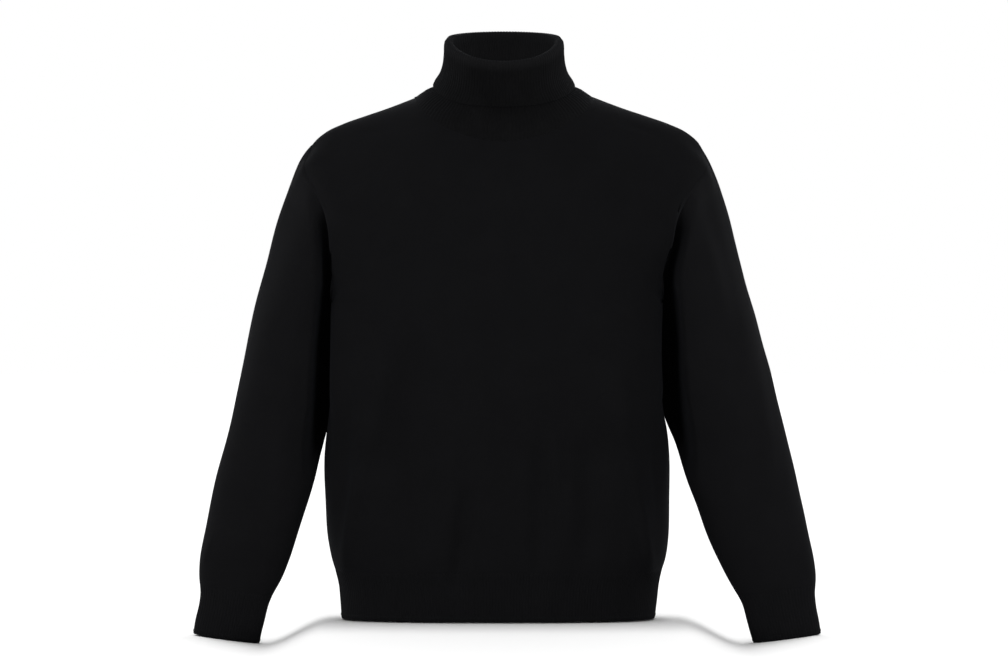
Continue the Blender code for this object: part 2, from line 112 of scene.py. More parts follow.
body = {
    "hemZ": -676.0,
    "ribTopZ": -615.0,
    "underarmZ": -268.0,
    "neckHalfWidth": 114.4,
    "frontNeckDrop": 62.0,
    "backNeckDrop": 22.0,
    "neckSquare": 1.75,  # exponent of the neckline's superellipse
    "shoulderRound": 135.0,  # height over which the shoulder curves into the chest
    "shoulderCurve": 1.6,
    "shoulderTipX": 252.0,
    "ridgeY": 8.0,  # how far back the shoulder seam lies at the centre
    "lean": 0.011,  # the left shoulder reaches this share further
    "neckAngle": 24.0,  # where a shoulder seam's inner end lies on the sections below the underarm
    "wall": 1.6,
    "shoulderColumns": 54,
    "neckColumns": 74,
    "columnsZ": -420.0,  # height at which the columns are evenly spaced
    "shoulderShare": 4 / 15,  # share of the panel's columns that ends at each shoulder seam
    "upperRows": 80,
    "lowerRows": 112,
    "ridgeCrowding": 1.35,
    "waveHeight": 0.45,
    "waveSize": 62.0,
    "seeds": {"front": 11, "back": 12},
    "calmEdge": 16.0,  # creases fade out over this distance from a seam
    "armStart": (-225.0, 30.0),  # where the arms begin to lie against the sides, and over what length
    "armEnd": (-465.0, 20.0),
    "armPress": 60.0,  # how far from the side seams they keep the cloth smooth
    "smoothing": 160,  # rounds of evening out the chest's and back's points
}
seam = {"dip": 0.08, "dipWidth": 1.3, "roll": 0.08, "rollAt": 3.0, "rollWidth": 1.8}
gather = {  # where plain cloth meets a rib
    "tuck": 0.12,  # how far its lower edge turns in
    "tuckRun": 2.5,
    "blouse": 0.2,  # how far it swells just above
    "blouseRun": 12.0,
}
armholeFill = {  # the fullness along the armholes: its height, width, narrower sleeve side and reach
    "height": 8.5,
    "width": 27.0,
    "narrow": 7.0,
    "narrowing": (-195.0, 70.0),
    "top": (-66.0, 34.0),
    "foot": (-246.0, 60.0),
}

bodySections = table(
    "z right left front back square",
    (-676, 211, 196, 105, 103, 2.7),
    (-654, 212.6, 198.8, 106, 104, 2.7),
    (-628, 215.3, 202, 107, 105, 2.72),
    (-615, 218.5, 205, 109, 106, 2.75),
    (-602, 222.4, 208.9, 110, 106.5, 2.8),
    (-576, 227.9, 213.1, 111, 106.5, 2.86),
    (-524, 231.8, 214.9, 111, 105, 2.94),
    (-446, 231.4, 213.3, 111, 102.5, 3.1),
    (-430, 229.2, 211, 111, 102.5, 3.5),
    (-410, 226.6, 207, 111, 102, 4.0),
    (-360, 224, 202.5, 111, 101.5, 4.4),
    (-305, 223.2, 203, 112.5, 103.5, 4.4),
    (-285, 222.8, 203, 113.5, 105, 4.2),
    (-268, 222.6, 204, 114.5, 106.5, 3.8),
    (-250, 229, 210.5, 115.5, 108.5, 3.4),
    (-225, 236, 219, 116.5, 110.5, 3.15),
    (-190, 240.5, 232, 117.5, 112, 3.05),
    (-160, 246, 240, 117, 112, 3.0),
    (-140, 250, 246, 115.5, 111, 3.0),
    (-125, 257, 254, 114.5, 110, 2.92),
    (-105, 262, 263, 112.5, 108.5, 2.82),
    (-60, 260, 264, 107, 103, 2.65),
    (20, 260, 264, 96, 92, 2.5),
)
shoulderLine = table(
    "x z",
    (0, 14),
    (60, 12.5),
    (95, 6.2),
    (114.4, 0),
    (125.6, -4.4),
    (153, -14.8),
    (184, -25.3),
    (213, -35.7),
    (234.5, -46.2),
    (247.3, -56.6),
    (256, -67),
)
armholeShare = table(  # the armhole's edge, as a share of the body's reach
    "z front back",
    (-268, 1, 1),
    (-262, 0.991, 0.992),
    (-250, 0.962, 0.966),
    (-225, 0.928, 0.938),
    (-190, 0.9, 0.915),
    (-160, 0.893, 0.91),
    (-140, 0.902, 0.915),
    (-125, 0.924, 0.93),
    (-105, 0.958, 0.95),
    (-86, 0.965, 0.96),
    (-62, 0.96, 0.96),
)


def reach(side, z):
    return np.where(side < 0, read(bodySections, "right", z), read(bodySections, "left", z))


def ridge(x):  # height of the shoulder seam
    return read(shoulderLine, "z", np.abs(x) / (1 + body["lean"] * np.sign(x)), by="x")


def onBody(x, z, panel):
    # |x / reach|^n + |y / depth|^n = 1 across; the depth shrinks to nothing at the shoulder seam along
    # (1 - (1 - below)^c)^(1 / c), where below is the share of the shoulder's round that lies above z
    square = read(bodySections, "square", z)
    across = np.clip(np.abs(x) / reach(x, z), 0, 1)
    depth = read(bodySections, panel, z) * (1 - across**square) ** (1 / square)
    below = np.clip((ridge(x) - z) / body["shoulderRound"], 0, 1)
    curve = body["shoulderCurve"]
    full = (1 - (1 - below) ** curve) ** (1 / curve)
    facing = -1 if panel == "front" else 1
    seamY = body["ridgeY"] * np.clip(1 - np.abs(x) / body["shoulderTipX"], 0, 1)
    return np.stack([x, seamY * (1 - full) + facing * depth * full, z], axis=-1)


def angleAt(x, z):  # sin(angle) = (x / reach)^(n / 2)
    square = read(bodySections, "square", z)
    return np.sign(x) * np.arcsin(np.clip(np.abs(x) / reach(x, z), 0, 1) ** (square / 2))


def atAngle(angle, z):  # x = reach * sin(angle)^(2 / n)
    return reach(angle, z) * signedPower(np.sin(angle), 2 / read(bodySections, "square", z))


def armhole(side, panel, up):  # x and z at shares of the armhole's length, from the underarm to the shoulder
    z = np.linspace(body["underarmZ"], armholeShare["z"][-1], 400)
    x = side * read(armholeShare, panel, z) * reach(side, z)
    z[-1] = ridge(x[-1])
    run = runAlong(onBody(x, z, panel))
    return np.interp(up, run / run[-1], x), np.interp(up, run / run[-1], z)


def neckline(angle, panel):  # a superellipse seen from the front
    power = 2 / body["neckSquare"]
    x = body["neckHalfWidth"] * signedPower(np.sin(angle), power)
    return x, ridge(body["neckHalfWidth"]) - body[panel + "NeckDrop"] * np.abs(np.cos(angle)) ** power


def sectionAngle(place):  # place 0 to 3: under the right shoulder, the neck and the left shoulder
    return np.radians(np.interp(place, [0, 1, 2, 3], [-90, -body["neckAngle"], body["neckAngle"], 90]))


def topEdge(place, panel):  # x and z along one shoulder seam, the neckline and the other shoulder seam
    tips = [float(armhole(side, panel, 1.0)[0]) for side in (-1, 1)]
    neck = body["neckHalfWidth"]
    x = np.interp(place, [0, 1, 2, 3], [tips[0], -neck, neck, tips[1]])
    neckX, neckZ = neckline(np.pi * (np.clip(place, 1, 2) - 1.5), panel)
    onNeck = (place > 1) & (place < 2)
    return np.where(onNeck, neckX, x), np.where(onNeck, neckZ, ridge(x))


def sectionPoints(place, z, panel="front"):
    z = np.broadcast_to(z, np.broadcast_shapes(np.shape(z), np.shape(place))).astype(float)
    return onBody(atAngle(np.broadcast_to(sectionAngle(place), z.shape), z), z, panel)


def panelPlaces():  # columns, evenly spaced in each stretch, with two more beside each side seam
    stretches = []
    for k, count in enumerate((body["shoulderColumns"], body["neckColumns"], body["shoulderColumns"])):
        fine = np.linspace(k, k + 1, 600)
        stretches.append(evenlyAlong(sectionPoints(fine, body["columnsZ"]), fine, count)[k > 0 :])
    at = np.concatenate(stretches)
    close = np.array([0.3, 0.62])
    first, last = at[0] + (at[1] - at[0]) * close, at[-1] - (at[-1] - at[-2]) * close[::-1]
    return np.concatenate([at[:1], first, at[1:-1], last, at[-1:]])


def evened(field, rounds):  # each round moves inner points halfway to the mean of their four neighbours
    for _ in range(rounds):
        around = field[:-2, 1:-1] + field[2:, 1:-1] + field[1:-1, :-2] + field[1:-1, 2:]
        field[1:-1, 1:-1] = (field[1:-1, 1:-1] + around / 4) / 2
    return field


def upperBody(place, up, panel):
    # blended in angle and height from the four edges: (1-v) bottom + v top + (1-u) right + u left - corners
    share = body["shoulderShare"]
    u = np.interp(place, [0, 1, 2, 3], [0, share, 1 - share, 1])[None, :, None]
    topX, topZ = topEdge(place, panel)
    bottom = np.stack([sectionAngle(place), np.full(len(place), body["underarmZ"])], axis=-1)
    top = np.stack([angleAt(topX, topZ), topZ], axis=-1)
    sides = []
    for side in (-1, 1):
        x, z = armhole(side, panel, up)
        sides.append(np.stack([angleAt(x, z), z], axis=-1)[:, None, :])
    v = up[:, None, None]
    corners = [(1 - v) * bottom[k] + v * top[k] for k in (0, -1)]
    blend = (1 - v) * bottom + v * top + (1 - u) * (sides[0] - corners[0]) + u * (sides[1] - corners[1])
    blend = evened(blend, body["smoothing"])
    x, z = atAngle(blend[..., 0], blend[..., 1]), blend[..., 1]
    x[-1], z[-1] = topX, topZ
    return onBody(x, z, panel)


def bodyGrid(panel):  # from the rib's seam up to the shoulders
    places = panelPlaces()
    z = np.linspace(body["ribTopZ"], body["underarmZ"], body["lowerRows"] + 1)[:-1, None]
    lower = sectionPoints(places[None, :], z, panel)
    upper = upperBody(places, crowded(body["upperRows"], body["ridgeCrowding"]), panel)
    grid = np.concatenate([lower, upper])
    return grid if panel == "front" else grid[:, ::-1]


# Creases.

# A crease bends from its start past its middle to its end. Troughs have negative heights. Rise and fall are
# the shares of its length over which it grows and fades.
creaseColumns = "x z midX midZ endX endZ halfWidth height rise fall"
bodyCreases = {
    "front": table(
        creaseColumns,
        (-46, -490, -56, -560, -60, -650, 11, -8.0, 0.35, 0.3),
        (-40, -520, -46, -560, -52, -610, 6, -2.0, 0.4, 0.4),
        (47, -410, 52, -520, 44, -650, 14, -8.0, 0.4, 0.3),
        (66, -425, 66, -480, 68, -545, 8, 2.6, 0.4, 0.4),
        (108, -410, 114, -500, 104, -630, 17, -9.0, 0.4, 0.3),
        (159, -545, 162, -590, 160, -650, 7, 2.2, 0.4, 0.5),
        (162, -470, 182, -560, 191, -650, 8, 6.0, 0.4, 0.4),
        (-180, -450, -196, -540, -210, -640, 8, 6.5, 0.4, 0.4),
        (-112, -300, -124, -440, -98, -600, 28, -12.0, 0.3, 0.3),
        (78, -320, 82, -430, 92, -540, 30, -7.0, 0.4, 0.4),
        (-146, -310, -168, -430, -188, -530, 15, 6.0, 0.4, 0.3),
        (-24, -330, -22, -430, -26, -530, 22, 6.0, 0.4, 0.4),
        (138, -300, 152, -420, 168, -530, 16, 6.0, 0.4, 0.3),
        (-196, -360, -206, -450, -216, -560, 11, -5.0, 0.4, 0.3),
        (192, -400, 198, -490, 203, -590, 10, -4.5, 0.4, 0.3),
        (-216, -250, -217, -340, -216, -428, 9, 4.5, 0.1, 0.25),
        (197, -250, 196, -340, 199, -412, 9, 4.5, 0.1, 0.25),
        (-120, -560, -118, -595, -124, -640, 10, -1.6, 0.5, 0.5),
        (14, -570, 12, -600, 14, -645, 9, -1.2, 0.5, 0.5),
        (-198, -47, -172, -50, -146, -46, 4.5, -0.8, 0.4, 0.5),
        (138, -32, 176, -42, 213, -57, 4.5, -0.8, 0.4, 0.5),
    ),
    "back": table(
        creaseColumns,
        (-86, -450, -92, -540, -80, -640, 14, -3.6, 0.4, 0.3),
        (18, -490, 8, -560, 14, -640, 12, -3.0, 0.4, 0.3),
        (112, -430, 120, -520, 104, -630, 15, -3.4, 0.4, 0.3),
        (-36, -545, -30, -590, -34, -650, 8, 1.8, 0.4, 0.5),
        (66, -530, 60, -580, 64, -645, 9, 1.6, 0.4, 0.5),
        (-160, -470, -182, -555, -196, -640, 8, 3.2, 0.5, 0.4),
        (160, -480, 178, -560, 186, -645, 8, 3.2, 0.5, 0.4),
        (-60, -230, -66, -340, -92, -470, 36, -2.4, 0.3, 0.5),
        (58, -250, 70, -350, 98, -450, 34, -2.4, 0.3, 0.5),
        (0, -60, 2, -160, -2, -300, 26, -1.6, 0.4, 0.6),
        (-120, -130, -140, -200, -178, -262, 20, -1.8, 0.4, 0.4),
        (122, -124, 146, -204, 174, -258, 20, -1.8, 0.4, 0.4),
        (-44, -26, 0, -38, 46, -25, 9, -1.0, 0.4, 0.4),
    ),
}


def creases(across, up, rows):
    # height * exp(-(distance to the crease's line / half width)^2), grown and faded along the line, which is
    # (1-t)^2 start + 2t(1-t) middle + t^2 end
    t = np.linspace(0, 1, 21)
    weights = np.stack([(1 - t) ** 2, 2 * t * (1 - t), t**2])
    total = np.zeros_like(across)
    for x, z, midX, midZ, endX, endZ, halfWidth, height, rise, fall in zip(*rows.values()):
        lineX, lineZ = np.array([x, midX, endX]) @ weights, np.array([z, midZ, endZ]) @ weights
        margin = 3 * halfWidth  # beyond it the crease is too low to matter
        near = (across > lineX.min() - margin) & (across < lineX.max() + margin)
        near &= (up > lineZ.min() - margin) & (up < lineZ.max() + margin)
        pointX, pointZ = across[near][:, None], up[near][:, None]
        stepX, stepZ = np.diff(lineX), np.diff(lineZ)
        share = ((pointX - lineX[:-1]) * stepX + (pointZ - lineZ[:-1]) * stepZ) / (stepX**2 + stepZ**2)
        share = np.clip(share, 0, 1)
        apart = (pointX - lineX[:-1] - share * stepX) ** 2 + (pointZ - lineZ[:-1] - share * stepZ) ** 2
        nearest = apart.argmin(axis=1)[:, None]
        along = (nearest + np.take_along_axis(share, nearest, 1))[:, 0] / len(stepX)
        fade = softStep(along / rise) * softStep((1 - along) / fall)
        total[near] += height * np.exp(-np.take_along_axis(apart, nearest, 1)[:, 0] / halfWidth**2) * fade
    return total


def waviness(across, up, seed, height, size):
    # the cloth's own unevenness: slanted sine waves of about one size, drawn from a fixed seed, and half as
    # steep up the cloth as across it
    draw, waves = np.random.default_rng(seed), 12
    total = np.zeros_like(across)
    ranges = ((0, np.pi), (0.6, 1.8), (0, 2 * np.pi))
    for direction, stretch, phase in zip(*(draw.uniform(*ends, waves) for ends in ranges)):
        place = across * np.cos(direction) + 0.5 * up * np.sin(direction)
        total += np.sin(place * 2 * np.pi / (size * stretch) + phase)
    return height * total / np.sqrt(waves / 2)


def seamShape(distance):  # -dip bell(d / dipWidth) + roll bell((d - rollAt) / rollWidth)
    roll = seam["roll"] * bell((distance - seam["rollAt"]) / seam["rollWidth"])
    return roll - seam["dip"] * bell(distance / seam["dipWidth"])


def armholeShape(distance, z, onSleeve):  # height bell(d / width) over the armhole's front and back
    look = armholeFill
    (top, topRun), (foot, footRun), (end, run) = look["top"], look["foot"], look["narrowing"]
    tall = look["height"] * softStep((top - z) / topRun) * softStep((z - foot) / footRun)
    widening = softStep((z - end) / run) if onSleeve else 1
    return tall * bell(distance / (look["narrow"] + (look["width"] - look["narrow"]) * widening))


def gatherShape(distance):  # blouse s exp(1 - s) - tuck bell(d / tuckRun), where s is d / blouseRun
    swell = distance / gather["blouseRun"]
    return gather["blouse"] * swell * np.exp(1 - swell) - gather["tuck"] * bell(distance / gather["tuckRun"])


def armBeside(z):  # 1 over the heights where the arms lie against the body's sides
    (start, startRun), (end, endRun) = body["armStart"], body["armEnd"]
    return softStep((start - z) / startRun) * softStep((z - end) / endRun)


contact = {  # the groove in the body's side that takes the arm's edge
    "y": 17.0,
    "width": 12.0,
    "depth": 1.4,
    "start": (-261.0, 8.0),  # where it starts, and over what length it deepens
    "held": 0.9,  # share of the depth to which the arm's edge sinks in
    "inner": (150.0, 30.0),  # how far from the middle the body has it, and over what width it deepens
    "fade": 4.0,  # how far from the seam the sleeve shares it
}


def contactDepth(y, z):  # depth bell((y - y0) / width), below the start
    start, run = contact["start"]
    groove = contact["depth"] * bell((y - contact["y"]) / contact["width"])
    return groove * softStep((start - z) / run) * armBeside(z)


def bodyFullness(grid, panel, toSeam):
    # the creases and the unevenness, which the rib takes over from the body
    x, z = grid[..., 0], grid[..., 2]
    fullness = creases(x, z, bodyCreases[panel])
    fullness += waviness(x, z, body["seeds"][panel], body["waveHeight"], body["waveSize"])
    pressed = armBeside(z) * (1 - softStep((2 * toSeam - body["armPress"]) / body["armPress"]))
    return fullness * softStep(toSeam / body["calmEdge"]) * (1 - pressed)


def edgeZ(grid):  # at each point, the height of its row's nearer end
    ends = np.broadcast_to(grid[:, -1:, 2], grid.shape[:2]).copy()
    ends[:, : grid.shape[1] // 2] = grid[:, :1, 2]
    return ends


def bodyRelief(grid, panel):
    fromStart, fromFoot = runAlong(grid, axis=1), runAlong(grid)
    toSide = np.minimum(fromStart, fromStart[:, -1:] - fromStart)
    toSeam = np.minimum(toSide, fromFoot[-1:] - fromFoot)
    relief = bodyFullness(grid, panel, toSeam) + seamShape(toSeam) + gatherShape(fromFoot)
    relief += armholeShape(toSide, edgeZ(grid), False)
    inner, run = contact["inner"]
    return relief - contactDepth(grid[..., 1], grid[..., 2]) * softStep((np.abs(grid[..., 0]) - inner) / run)


# From grids to closed shells.


def gridNormals(grid, ring):
    if ring:
        across = np.roll(grid, -1, axis=1) - np.roll(grid, 1, axis=1)
    else:
        across = np.gradient(grid, axis=1)
    return unit(np.cross(across, np.gradient(grid, axis=0)))


def shareNormals(grids, rings):  # points that two grids have in common get one normal
    normals = {name: gridNormals(grid, name in rings) for name, grid in grids.items()}
    places = np.concatenate([grid.reshape(-1, 3) for grid in grids.values()])
    _, index = np.unique(np.round(places, 3), axis=0, return_inverse=True)
    index = index.ravel()
    total = np.zeros((index.max() + 1, 3))
    np.add.at(total, index, np.concatenate([normal.reshape(-1, 3) for normal in normals.values()]))
    merged, start = unit(total)[index], 0
    for name, grid in grids.items():
        count = grid.shape[0] * grid.shape[1]
        normals[name] = merged[start : start + count].reshape(grid.shape)
        start += count
    return normals


def knitMap(grid, ring):  # the cloth's own coordinates, measured across from the middle or the seam, and up
    if ring:
        up, closed = runAlong(grid), np.concatenate([grid, grid[:, :1]], axis=1)
        return np.stack([runAlong(closed, axis=1), np.concatenate([up, up[:, :1]], axis=1)], axis=-1)
    up, across, x = runAlong(grid[..., 1:]), runAlong(grid, axis=1), grid[..., 0]
    middle, facing = np.abs(x).argmin(axis=1)[:, None], np.sign(x[:, -1:] - x[:, :1])
    across -= np.take_along_axis(across, middle, 1) - facing * np.take_along_axis(x, middle, 1)
    return np.stack([across, up], axis=-1)


def shell(name, outer, inner, knit, ring, material, lipSteps=3, lipKnit=3.0, sharpAngle=70):
    # one loop of rows: up the outer face, over a half-round lip, down the inner face and under another lip:
    # lip = middle + half cos(turn) + away |half| sin(turn), and its stitches take up lipKnit
    turn = np.linspace(0, np.pi, lipSteps + 2)[1:-1, None, None]
    lips = []
    for row, beside, sign in ((-1, -2, 1), (0, 1, -1)):
        middle, half = (outer[row] + inner[row]) / 2, (outer[row] - inner[row]) / 2
        away = unit(outer[row] - outer[beside]) * np.linalg.norm(half, axis=-1, keepdims=True)
        lips.append(middle + sign * half * np.cos(turn) + away * np.sin(turn))
    points = np.concatenate([outer, lips[0], inner[::-1], lips[1]])
    rows, (height, width) = len(outer), points.shape[:2]
    lip = np.linspace(0, lipKnit, lipSteps + 2)[1:-1, None, None] * np.array([0, 1.0])
    knit = np.concatenate([knit, knit[-1:] + lip, knit[::-1] + [0, lipKnit], knit[:1] - lip, knit[:1]])
    index = np.arange(height * width).reshape(height, width)
    index = np.concatenate([index, index[:1]])
    if ring:
        index = np.concatenate([index, index[:, :1]], axis=1)

    def quads(values):
        around = [values[:-1, :-1], values[:-1, 1:], values[1:, 1:], values[1:, :-1]]
        return np.stack(around, axis=2).reshape(-1, 4, *values.shape[2:])

    faces, corners = quads(index).tolist(), quads(knit).reshape(-1, 2)
    if not ring:
        for column in (0, -1):
            up, down = index[:rows, column], index[rows + lipSteps : 2 * rows + lipSteps, column][::-1]
            ends = np.stack([up[:-1], up[1:], down[1:], down[:-1]], axis=-1).tolist()
            ends.append(index[rows - 1 : rows + lipSteps + 1, column].tolist())
            ends.append(index[2 * rows + lipSteps - 1 :, column].tolist())
            faces += [end[::-1] if column else end for end in ends]
            corners = np.concatenate([corners, np.tile(knit[0, column], (sum(map(len, ends)), 1))])
    mesh = bpy.data.meshes.new(name)
    mesh.from_pydata((points.reshape(-1, 3) * mm).tolist(), [], faces)
    mesh.shade_smooth()
    mesh.set_sharp_from_angle(angle=np.radians(sharpAngle))
    layer = mesh.uv_layers.new(name="knit")
    layer.data.foreach_set("uv", (corners * mm).astype(np.float32).ravel())
    mesh.materials.append(material)
    return placed(name, mesh)


def clothShell(name, grid, normals, relief, wall, ring, material):
    # the outer face stands off the grid by the relief, and the inner face lies a wall below it
    outer = grid + normals * relief[..., None]
    return shell(name, outer, outer - normals * wall, knitMap(grid, ring), ring, material)


# Ribs.


ribRound = {"power": 0.6, "sunk": 0.6}  # how round a ridge is, and the share of it below the cloth's level


def ribShape(phase):  # |sin(pi * phase)|^power - sunk: round ridges with narrow grooves between them
    return np.abs(np.sin(np.pi * phase)) ** ribRound["power"] - ribRound["sunk"]


def ribShell(name, grid, look, base, ring, material, thinner=0.0, knitRow=0):
    # ridges of the outer face lie over grooves of the inner face, as in a rib of one plain and one purl
    # wale, and the stitches' width is that of the row called knitRow
    normals, height, count = gridNormals(grid, ring), look["ribHeight"], grid.shape[1]
    wales = np.arange(count + ring) / look["samples"]
    outer = base + height * ribShape(wales[:count])
    inner = base + thinner - look["wall"] - height * ribShape(wales[:count] + 0.5)
    faces = [grid + normals * level[..., None] for level in (outer, inner)]
    across = wales * runAlong(grid[knitRow])[-1] / look["ribs"]
    up = runAlong(grid).mean(axis=1, keepdims=True)
    return shell(name, *faces, np.stack(np.broadcast_arrays(across, up), axis=-1), ring, material)


hemRib = {
    "ribs": 138,  # across each half
    "samples": 5,  # columns per rib
    "columnsZ": -645.0,  # height at which they are evenly spaced
    "rowStep": 5.0,
    "ribHeight": 0.6,
    "wall": 2.2,
    "tuckUp": 0.6,  # how far it goes up behind the body's edge
    "tuckIn": 0.1,
    "tuckRun": 4.0,
    "edgeRoll": 0.7,  # a rounded line just above the lower edge
    "edgeRollAt": 3.6,
    "edgeRollWidth": 1.4,
}


def edgeRows(length, step, foot=8.0, fine=1.3):  # distances from a lower edge, closer together near it
    above = np.linspace(foot, length, int((length - foot) / step) + 2)
    return np.concatenate([np.arange(0, foot, fine), above])


def footShape(distance, look):  # edgeRoll bell((d - edgeRollAt) / edgeRollWidth)
    return look["edgeRoll"] * bell((distance - look["edgeRollAt"]) / look["edgeRollWidth"])


def tuckShape(distance, tall, look):  # sinks to tuckIn over tuckRun where the rib goes under the cloth above
    return look["tuckIn"] * softStep((distance - tall + look["tuckRun"]) / look["tuckRun"])


def buildHemRib(panel, material):
    look, tall = hemRib, body["ribTopZ"] - body["hemZ"]
    up = edgeRows(tall + look["tuckUp"], look["rowStep"])
    fine = np.linspace(0, 3, 3001)
    even = sectionPoints(fine, look["columnsZ"], panel)
    places = evenlyAlong(even, fine, look["ribs"] * look["samples"])
    grid = sectionPoints(places[None, :], body["hemZ"] + up[:, None], panel)
    grid = grid if panel == "front" else grid[:, ::-1]
    toSeam = runAlong(grid, axis=1)
    toSeam = np.minimum(toSeam, toSeam[:, -1:] - toSeam)
    base = bodyFullness(grid, panel, toSeam) + (footShape(up, look) - tuckShape(up, tall, look))[:, None]
    return ribShell("hemRib" + panel.capitalize(), grid, look, base, False, material)


# Sleeves.

armSides = {"Right": -1, "Left": 1}
sleeve = {
    "topZ": -305.0,  # first ring that lies across the arm
    "cuffSeamZ": -640.0,
    "cuffEndZ": -700.5,
    "square": 2.15,
    "cuffTilt": 0.15,  # slope of the rings across the forearm
    "tiltRun": 250.0,
    "clearance": 0.3,  # from the body's side
    "clearanceStart": 32.0,  # height over the underarm at which it begins
    "clearanceRun": 30.0,
    "calmBeside": (1.5, 14.0),  # the cloth is smooth this close to the body's side, and uneven beyond
    "capBulge": 6.0,
    "headCrowding": 1.5,
    "headRows": 66,
    "armRows": 112,
    "wall": 1.6,
    "waveHeight": 0.4,
    "waveSize": 52.0,
    "seeds": {"Right": 21, "Left": 22},
    "calmEdge": 14.0,
    "hollowY": 16.0,  # how far back the hollow between the arm and the body's side reaches
    "hollowRise": 5.0,  # distance from the armhole's seam over which it deepens
}
hollow = table(  # its depth, as a share of the way back, and the widths of its floor and mouth on each side
    "z depth floorRight wideRight floorLeft wideLeft",
    (-500, 0, 12, 27, 18, 33),
    (-460, 0.5, 12, 27, 18, 33),
    (-415, 0.95, 12, 27, 18, 33),
    (-330, 0.94, 11.5, 25, 17, 31),
    (-290, 0.8, 9, 22, 14, 28),
    (-251, 0.6, 8, 22, 11, 26),
    (-212, 0.42, 8, 26, 9, 27),
    (-173, 0.24, 7, 30, 7, 30),
    (-147, 0.1, 5, 28, 5, 28),
    (-125, 0, 1, 18, 1, 18),
    (-60, 0, 1, 18, 1, 18),
)
sleeveEdges = {  # outer and inner edges seen from the front, and the reach forward and back
    "Right": table(
        "z outer inner front back",
        (-708, 402, 316, 62, -20),
        (-693, 400.8, 312.5, 62, -20),
        (-680, 399, 309, 62, -20),
        (-654, 393.5, 302.3, 63, -19),
        (-641, 392.3, 296.5, 64, -17),
        (-628, 393.2, 289.7, 66, -14),
        (-602, 392.6, 278.8, 69, -8),
        (-550, 384.2, 260.8, 72, 0),
        (-498, 372.6, 245.4, 75, 5),
        (-446, 359.8, 233.4, 78, 11),
        (-420, 353.5, 227, 80, 15),
        (-368, 342, 222.5, 84, 22),
        (-305, 329, 222, 88, 32),
        (-264, 320, 223, 87, 40),
        (-212, 307, 222, 83, 47),
        (-160, 292.8, 220, 78, 50),
        (-134, 284.5, 220, 78, 50),
        (-108, 275.4, 220, 78, 50),
        (-95, 270.3, 220, 78, 50),
        (-82, 264.2, 220, 78, 50),
        (-75.4, 260.2, 220, 78, 50),
        (-69, 255.8, 220, 78, 50),
        (-62, 249.6, 220, 78, 50),
    ),
    "Left": table(
        "z outer inner front back",
        (-708, 410.8, 322.5, 62, -20),
        (-693, 409.2, 317.6, 62, -20),
        (-680, 407.5, 314.1, 62, -20),
        (-654, 402.8, 306, 63, -19),
        (-641, 401.5, 298.2, 64, -17),
        (-628, 402.4, 290.4, 66, -14),
        (-602, 400.8, 277, 69, -8),
        (-550, 390.8, 255.6, 72, 0),
        (-498, 379, 236.8, 75, 5),
        (-446, 366.3, 221, 78, 11),
        (-420, 359.9, 210.4, 80, 15),
        (-400, 355, 205, 81.5, 18),
        (-368, 346.8, 201.5, 84, 22),
        (-305, 330.2, 201, 88, 32),
        (-264, 319.6, 201, 87, 40),
        (-212, 305.8, 201, 83, 47),
        (-160, 292.8, 200, 78, 50),
        (-134, 285, 200, 78, 50),
        (-108, 276.9, 200, 78, 50),
        (-95, 272, 200, 78, 50),
        (-82, 266.4, 200, 78, 50),
        (-75.4, 263, 200, 78, 50),
        (-69, 259.1, 200, 78, 50),
        (-61, 253.4, 200, 78, 50),
    ),
}
# Creases of the sleeves are placed round the arm from the middle of its front, outwards, and by height.
sleeveCreases = {
    "Right": table(
        creaseColumns,
        (-40, -340, -44, -420, -34, -520, 18, -1.4, 0.4, 0.4),
        (20, -300, 14, -380, 18, -470, 22, 1.2, 0.4, 0.4),
        (50, -560, 53, -592, 50, -618, 6, 1.4, 0.4, 0.5),
        (30, -566, 20, -592, -6, -606, 10, -1.2, 0.4, 0.5),
    ),
    "Left": table(
        creaseColumns,
        (-42, -350, -44, -430, -36, -530, 18, -1.4, 0.4, 0.4),
        (20, -310, 16, -390, 20, -470, 22, 1.2, 0.4, 0.4),
        (34, -566, 20, -596, -8, -606, 10, -1.2, 0.4, 0.5),
    ),
}


def ringAngles(side, up):
    # round the arm from the underarm and back to it: 0 on the ring's left and 90 degrees in front, where
    # the share up of each half turn belongs to the same share of the armhole's edge
    if side < 0:
        return np.concatenate([np.pi * up, (2 * np.pi - np.pi * up)[-2:0:-1]])
    return np.concatenate([np.pi + np.pi * up, (3 * np.pi - np.pi * up)[-2:0:-1]])


def armholeRing(side, up):
    edges = {panel: onBody(*armhole(side, panel, up), panel) for panel in ("front", "back")}
    first, second = ("front", "back") if side < 0 else ("back", "front")
    return np.concatenate([edges[first], edges[second][-2:0:-1]])


def sleeveRings(arm, z, angle):
    # a superellipse across the arm, tilted until it lies square to the forearm
    rows, power = sleeveEdges[arm], 2 / sleeve["square"]
    z, angle = np.asarray(z, float)[:, None], angle[None, :]
    tilt = sleeve["cuffTilt"] * softStep((sleeve["topZ"] - z) / sleeve["tiltRun"])
    half = (read(rows, "outer", z) - read(rows, "inner", z)) / 2
    outer, inner = read(rows, "outer", z + tilt * half), read(rows, "inner", z - tilt * half)
    front, back = read(rows, "front", z), read(rows, "back", z)
    x = armSides[arm] * (outer + inner) / 2 + (outer - inner) / 2 * signedPower(np.cos(angle), power)
    y = (back - front) / 2 - (front + back) / 2 * signedPower(np.sin(angle), power)
    return np.stack([x, y, z + tilt * (np.abs(x) - (outer + inner) / 2)], axis=-1)


def fromSide(points, side):  # how far points lie outside the body's side
    x, y, z = points[..., 0], points[..., 1], points[..., 2]
    square = read(bodySections, "square", z)
    depth = np.where(y < 0, read(bodySections, "front", z), read(bodySections, "back", z))
    return side * x - reach(side, z) * (1 - np.clip(np.abs(y) / depth, 0, 1) ** square) ** (1 / square)


